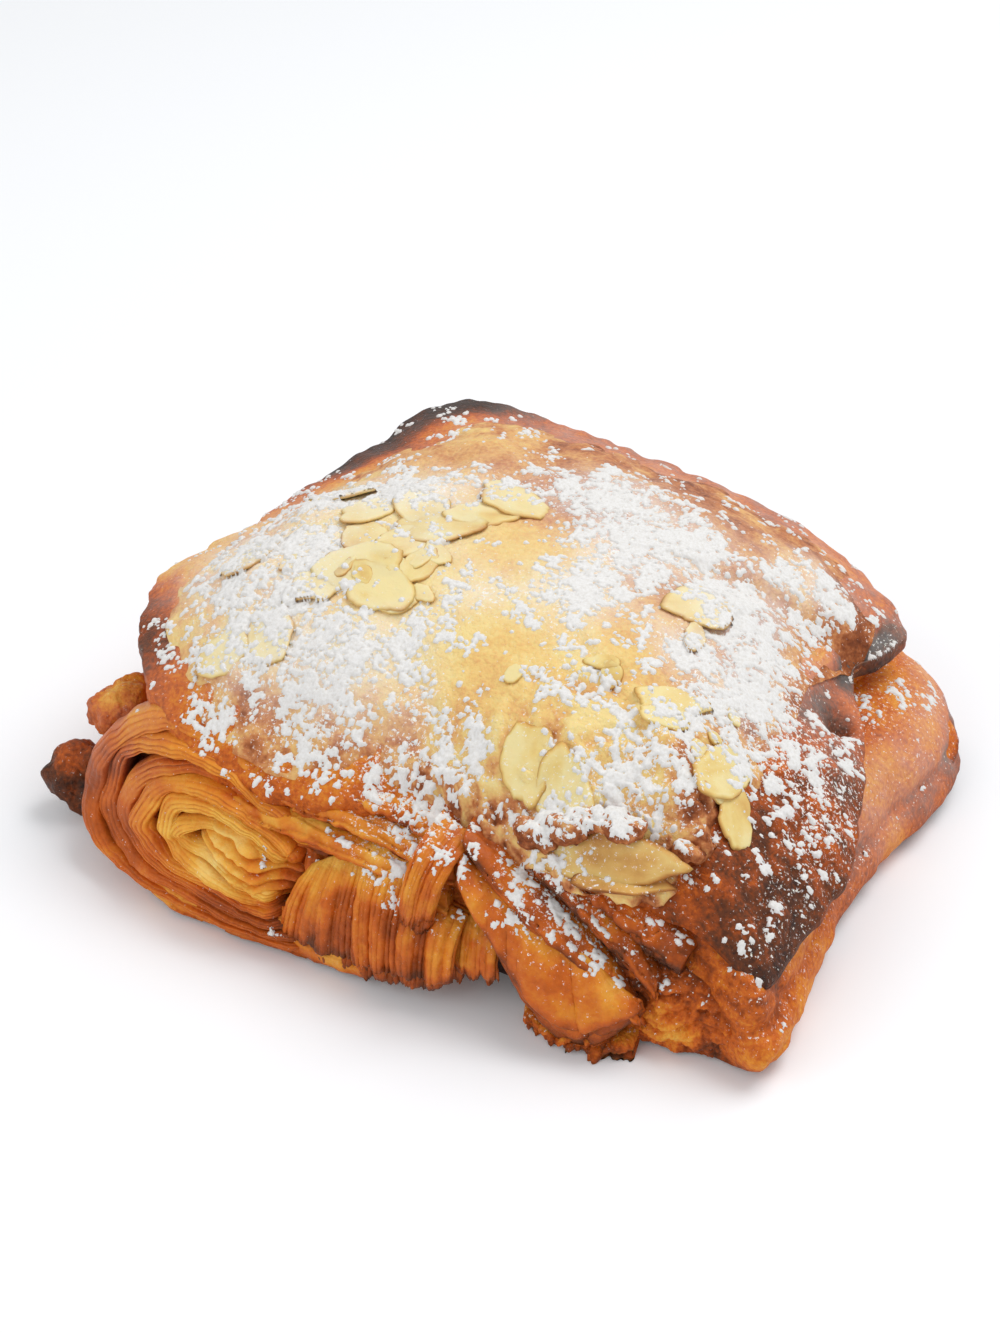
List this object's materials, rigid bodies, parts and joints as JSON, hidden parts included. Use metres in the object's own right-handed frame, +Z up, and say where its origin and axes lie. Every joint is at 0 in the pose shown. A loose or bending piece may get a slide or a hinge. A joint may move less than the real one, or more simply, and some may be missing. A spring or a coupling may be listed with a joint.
{
  "type": "almond pain au chocolat",
  "caption": "Laminated pastry roll with a layered spiral at its ends, hanging flaky sheets and a domed lid under browned almond cream with flaked almonds.",
  "frame": {"origin": "middle of the overall box in plan, on the surface that the flat underside rests on", "axes": "+X along the rolled end towards the side with the flange, +Y along the roll away from the shown spiral end, +Z up"},
  "size_m": [0.1223, 0.0996, 0.0442],
  "materials": {
    "baked_dough": "browned flaky crust",
    "almond_topping": "browned almond cream with flaked almonds and icing sugar"
  },
  "bodies": {
    "root": {"pastry": "baked_dough", "almond_cream": "almond_topping"}
  },
  "joints": []
}
